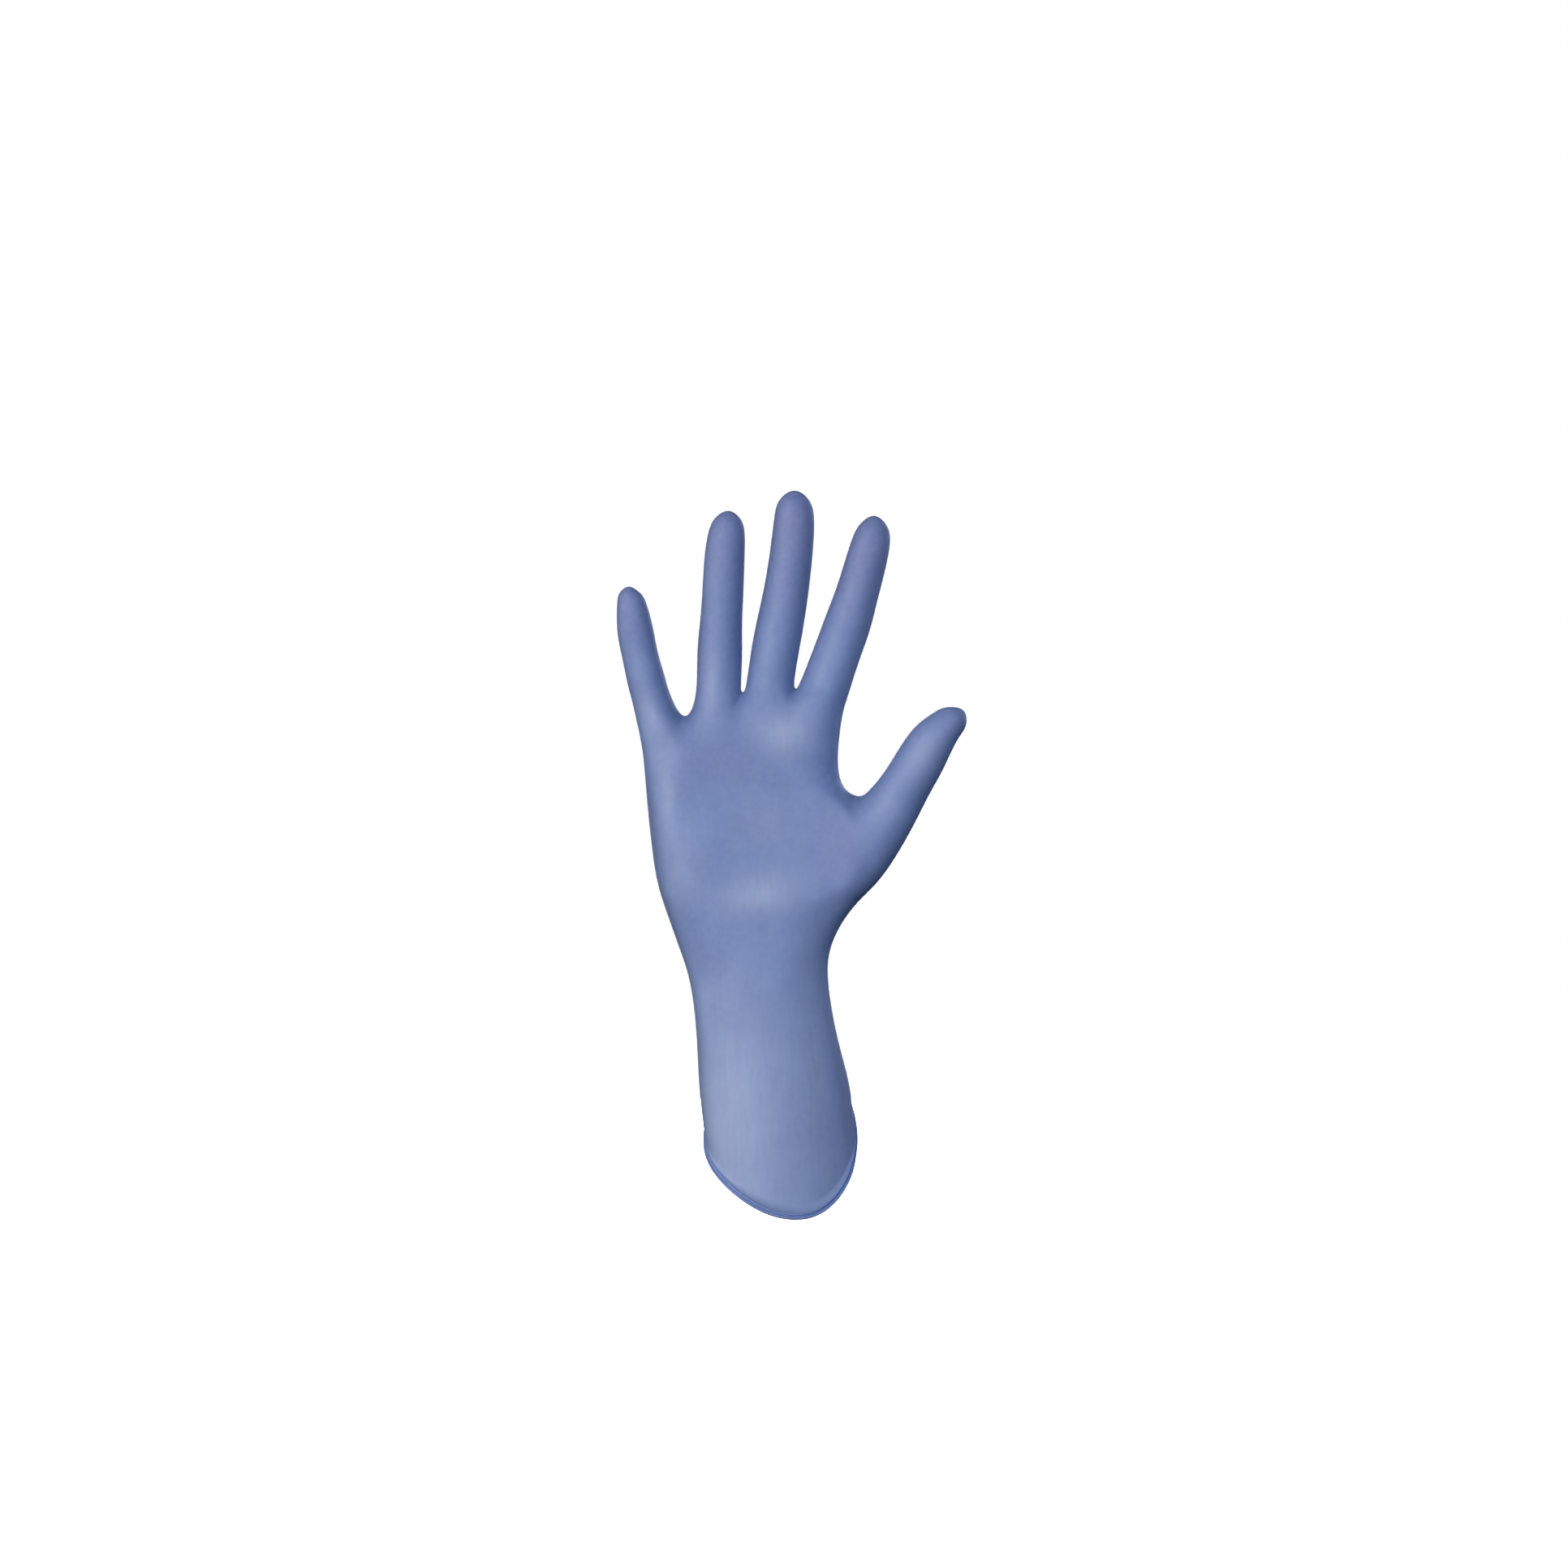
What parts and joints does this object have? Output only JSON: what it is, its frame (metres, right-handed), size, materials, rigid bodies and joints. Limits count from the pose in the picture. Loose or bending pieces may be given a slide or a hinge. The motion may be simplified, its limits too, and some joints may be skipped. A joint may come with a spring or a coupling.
{
  "type": "nitrile exam glove",
  "caption": "Thin blue nitrile exam glove in its worn form: hollow fingers and thumb, smooth palm, flared cuff with a rolled bead at its slanted rim.",
  "frame": {"origin": "middle of the cuff opening, where the wrist goes in and holds the glove up", "axes": "+Z from the cuff to the fingertips, -Y out of the palm side, +X towards the thumb side"},
  "size_m": [0.1371, 0.0491, 0.2844],
  "materials": {
    "nitrile_film": "satin, slightly translucent blue nitrile film with a faint violet tint on the finger pads"
  },
  "bodies": {
    "root": {"glove_shell": "nitrile_film"}
  },
  "joints": []
}
